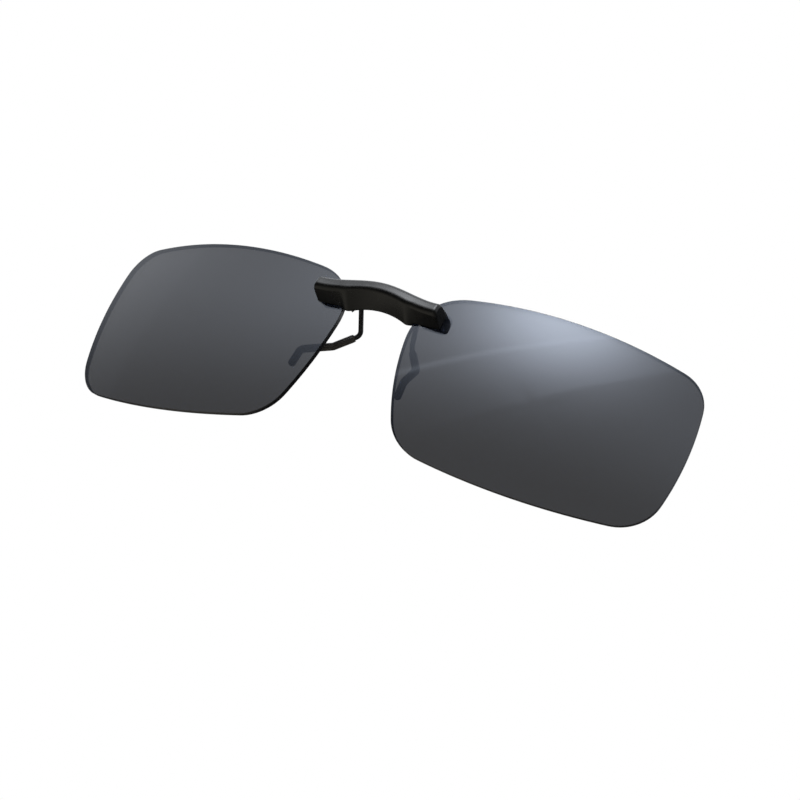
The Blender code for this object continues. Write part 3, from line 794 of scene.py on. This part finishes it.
# ---- claws and hooks ----------------------------------------------------------------
def claw_corners(side_name):
    """The wire's corners from its spindle to its end, with each claw's own set at the tip."""
    side, lift = SIDES[side_name], TIP_LIFT[side_name]
    tips = [(x + out, y, z + lift)
            for (x, y, z), out in zip((TIP_BEND, WIRE_END), TIP_SPREAD[side_name])]
    corners = [(SPINDLE_START_X, AXIS_Y, AXIS_Z), (LEG_X, AXIS_Y, AXIS_Z), LEG_OUTLET, FIRST_BEND,
               (SECOND_BEND[0], SECOND_BEND[1], SECOND_BEND[2] + lift / 2)]
    return [Vector((side * x, y, z)) for x, y, z in corners + tips]


def build_wire(name, path, body, node, finish):
    piece = tube(name, path, [WIRE_RADIUS] * len(path))
    finish_piece(piece, body, node, "claw_wire", finish)


def build_sleeve(name, outside, inside, bend, radius, body, node, finish):
    """A silicone sleeve with a soft lip at its mouth and a rounded closed end."""
    points, radii = rounded_tip(rounded_path(outside, bend), radius)
    lip = [points[0].lerp(points[1], share) for share, _ in SLEEVE_LIP]
    lip_radii = [radius - drop for _, drop in SLEEVE_LIP]
    sleeve = tube(name, lip + points[1:], lip_radii + radii[1:])
    bore_path = rounded_path(inside, bend)
    cut(sleeve, tube("bore", bore_path, [SLEEVE_BORE] * len(bore_path), TOOLS))
    shade(sleeve, TUBE_SHARP)
    finish_piece(sleeve, body, node, "silicone", finish)


def build_claw(side_name, wire_finish, sleeve_finish):
    """A lower claw's bent wire, and the sleeve on it from past its first bend."""
    corners = claw_corners(side_name)
    body = side_name + "_claw"
    build_wire(side_name + "_claw_arm", rounded_path(corners, BEND_RADIUS), body,
               side_name + "_claw_wire", wire_finish)
    sleeved = [corners[3].lerp(corners[4], SLEEVE_MOUTH)] + corners[4:]
    tail = (sleeved[-1] - sleeved[-2]).normalized()
    outside = sleeved[:-1] + [sleeved[-1] + tail * SLEEVE_PAST_WIRE]
    mouth = (sleeved[0] - sleeved[1]).normalized()
    inside = [sleeved[0] + mouth] + sleeved[1:-1] + [sleeved[-1] + tail * BORE_PAST_WIRE]
    build_sleeve(side_name + "_claw_grip", outside, inside, BEND_RADIUS, SLEEVE_RADIUS, body,
                 side_name + "_claw_sleeve", sleeve_finish)


def build_hook(side_name, wire_finish, sleeve_finish):
    """An upper hook's wire and the sleeve on its outer part."""
    x = SIDES[side_name] * PRONG_X
    corners = [Vector((x, y, z)) for y, z in PRONG_PATH]
    build_wire(side_name + "_upper_hook", rounded_path(corners, PRONG_BEND_RADIUS), "clip",
               side_name + "_upper_prong", wire_finish)
    start = corners[1].lerp(corners[2], 1 - PRONG_SLEEVE_SHARE)
    bend, end = corners[2], corners[3]
    tail = (end - bend).normalized()
    mouth = (start - bend).normalized()
    build_sleeve(side_name + "_hook_grip", [start, bend, end + tail * PRONG_SLEEVE_PAST_WIRE],
                 [start + mouth, bend, end + tail * BORE_PAST_WIRE], PRONG_BEND_RADIUS,
                 PRONG_SLEEVE_RADIUS, "clip", side_name + "_upper_sleeve", sleeve_finish)


# ---- studio -------------------------------------------------------------------------
def math_node(tree, operation, *values):
    node = tree.nodes.new("ShaderNodeMath")
    node.operation = operation
    for index, value in enumerate(values):
        if isinstance(value, (int, float)):
            node.inputs[index].default_value = value
        else:
            tree.links.new(value, node.inputs[index])
    return node.outputs["Value"]


def total(tree, values):
    result = values[0]
    for value in values[1:]:
        result = math_node(tree, "ADD", result, value)
    return result


def smooth(tree, value, low, high, floor=0.0, top=1.0):
    return map_range(tree, value, (low, high, floor, top), "SMOOTHSTEP")


def softbox(tree, azimuth, elevation, place, widths, height):
    """A soft round light at a place given by azimuth and elevation in degrees."""
    squares = []
    for angle, middle, width in zip((azimuth, elevation), place, widths):
        share = math_node(tree, "DIVIDE", math_node(tree, "SUBTRACT", angle, middle), width)
        squares.append(math_node(tree, "MULTIPLY", share, share))
    fall = math_node(tree, "EXPONENT", math_node(tree, "MULTIPLY", total(tree, squares), -1.0))
    return math_node(tree, "MULTIPLY", fall, height)


def blend(tree, factor, first, second):
    """A colour between two others, either of which may come from a node."""
    mix = tree.nodes.new("ShaderNodeMix")
    mix.data_type = "RGBA"
    tree.links.new(factor, mix.inputs["Factor"])
    for socket, colour in ((mix.inputs[6], first), (mix.inputs[7], second)):
        if isinstance(colour, tuple):
            socket.default_value = (*colour, 1.0)
        else:
            tree.links.new(colour, socket)
    return mix.outputs[2]


def above_line(tree, azimuth, elevation, start, end):
    """Degrees of elevation above the line through two directions."""
    slope = (end[1] - start[1]) / (end[0] - start[0])
    line = math_node(tree, "MULTIPLY_ADD", azimuth, slope, start[1] - slope * start[0])
    return math_node(tree, "SUBTRACT", elevation, line)


def slit(tree, azimuth, elevation):
    """A thin bright line that fades in along its length."""
    off = above_line(tree, azimuth, elevation, *STREAK)
    line = math_node(tree, "MULTIPLY", smooth(tree, off, -STREAK_HALF_WIDTH, 0.0),
                     smooth(tree, off, STREAK_HALF_WIDTH, 0.0))
    return math_node(tree, "MULTIPLY", line, smooth(tree, azimuth, *STREAK_FADE))


def studio_world():
    """White tent, with soft lights, cards and a graded wall for polished faces to reflect."""
    world = bpy.data.worlds.new("studio")
    world.use_nodes = True
    bpy.context.scene.world = world
    tree = world.node_tree
    tree.nodes.clear()
    ray = tree.nodes.new("ShaderNodeTexCoord").outputs["Generated"]
    parts = tree.nodes.new("ShaderNodeSeparateXYZ")
    tree.links.new(ray, parts.inputs["Vector"])
    forward = math_node(tree, "MULTIPLY", parts.outputs["Y"], -1.0)
    azimuth = math_node(tree, "DEGREES", math_node(tree, "ARCTAN2", parts.outputs["X"], forward))
    elevation = math_node(tree, "DEGREES", math_node(tree, "ARCSINE", parts.outputs["Z"]))
    ground = math_node(tree, "MULTIPLY", smooth(tree, parts.outputs["Y"], *GROUND_BEHIND),
                       smooth(tree, parts.outputs["X"], *GROUND_ACROSS))
    ground = math_node(tree, "MULTIPLY", ground, smooth(tree, elevation, *GROUND))
    levels = [smooth(tree, elevation, *WALL), ground]
    levels += [softbox(tree, azimuth, elevation, *light) for light in SOFTBOXES]
    over_card = above_line(tree, azimuth, elevation, *CARD_EDGE)
    under_card = smooth(tree, over_card, -CARD_SOFTNESS, CARD_SOFTNESS, 1.0 - CARD_SHADE, 1.0)
    lit = math_node(tree, "MULTIPLY", total(tree, levels), under_card)
    reflected = total(tree, [lit, slit(tree, azimuth, elevation),
                             smooth(tree, azimuth, *SIDE_CARD)])
    glossy = tree.nodes.new("ShaderNodeLightPath").outputs["Is Glossy Ray"]
    cast = blend(tree, smooth(tree, elevation, *HORIZON), GROUND_TINT, SKY_TINT)
    background = tree.nodes.new("ShaderNodeBackground")
    output = tree.nodes.new("ShaderNodeOutputWorld")
    strength = math_node(tree, "MULTIPLY_ADD", math_node(tree, "SUBTRACT", reflected, 1.0),
                         glossy, 1.0)
    wire_nodes(tree, [(blend(tree, glossy, (1.0, 1.0, 1.0), cast), background.inputs["Color"]),
                      (strength, background.inputs["Strength"]),
                      (background.outputs["Background"], output.inputs["Surface"])])


def direction(azimuth, elevation):
    return Vector((math.sin(azimuth) * math.cos(elevation),
                   -math.cos(azimuth) * math.cos(elevation), math.sin(elevation)))


def key_light():
    """A soft square light above the front."""
    toward = direction(KEY_AZIMUTH, KEY_ELEVATION)
    data = bpy.data.lights.new("key", "AREA")
    data.size, data.energy = KEY_SIZE, KEY_POWER
    made = bpy.data.objects.new("key", data)
    bpy.context.scene.collection.objects.link(made)
    made.location = toward * KEY_DISTANCE
    made.rotation_euler = toward.to_track_quat("Z", "Y").to_euler()


def floor():
    """A wide pale floor well below the part, which is held up by the spectacles."""
    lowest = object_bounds()[0][2]
    bm = bmesh.new()
    bmesh.ops.create_circle(bm, cap_ends=True, segments=96, radius=FLOOR_RADIUS)
    bmesh.ops.translate(bm, verts=bm.verts, vec=(0, 0, lowest - FLOOR_DROP))
    made, tree, shader, coords = new_material("pale_floor")
    paper = ramp(tree, noise(tree, coords, 3.0), (0.9, 0.9, 0.9), (0.93, 0.93, 0.93))
    tree.links.new(paper, shader.inputs["Base Color"])
    shader.inputs["Roughness"].default_value = 0.9
    plane = new_object("studio_floor", mesh_from("studio_floor", bm))
    plane.data.materials.append(made)
    plane.visible_glossy = False
    plane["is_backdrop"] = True


def camera():
    """A long lens below the front and to the right, rolled about its own axis."""
    back = direction(CAMERA_AZIMUTH, CAMERA_ELEVATION)
    level = Vector((math.cos(CAMERA_AZIMUTH), math.sin(CAMERA_AZIMUTH), 0.0))
    upright = back.cross(level)
    right = level * math.cos(CAMERA_ROLL) + upright * math.sin(CAMERA_ROLL)
    up = upright * math.cos(CAMERA_ROLL) - level * math.sin(CAMERA_ROLL)
    data = bpy.data.cameras.new("photo_camera")
    data.lens = CAMERA_LENS
    data.sensor_width = SENSOR_WIDTH
    data.clip_start, data.clip_end = 0.01, 50.0
    made = bpy.data.objects.new("photo_camera", data)
    bpy.context.scene.collection.objects.link(made)
    place = Matrix((right, up, back)).transposed().to_4x4()
    place.translation = right * CAMERA_AIM[0] + up * CAMERA_AIM[1] + back * CAMERA_DISTANCE
    made.matrix_world = place
    bpy.context.scene.camera = made


def main():
    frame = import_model()
    camera()
    studio_world()
    key_light()
    floor()
    bpy.context.scene.view_settings.view_transform = "Standard"
    sheet, rim, plastic = smoke_lens_material(), lens_edge_material(), plastic_material()
    coated, silicone = coated_wire_material(), silicone_material()
    steel, nylon = steel_material(), nylon_material()
    build_front_shell(plastic)
    build_rear_cover(plastic)
    for side_name in SIDES:
        build_lens(side_name, sheet, rim)
        build_screw(side_name, steel)
        build_claw(side_name, coated, silicone)
        build_hook(side_name, coated, silicone)
    hidden = {"left_return_spring": steel, "right_return_spring": steel, "left_lens_bush": nylon,
              "right_lens_bush": nylon, "claw_bearing_block": nylon}
    for node, finish in hidden.items():
        frame["nodes"][node].material_slots[0].material = finish


main()
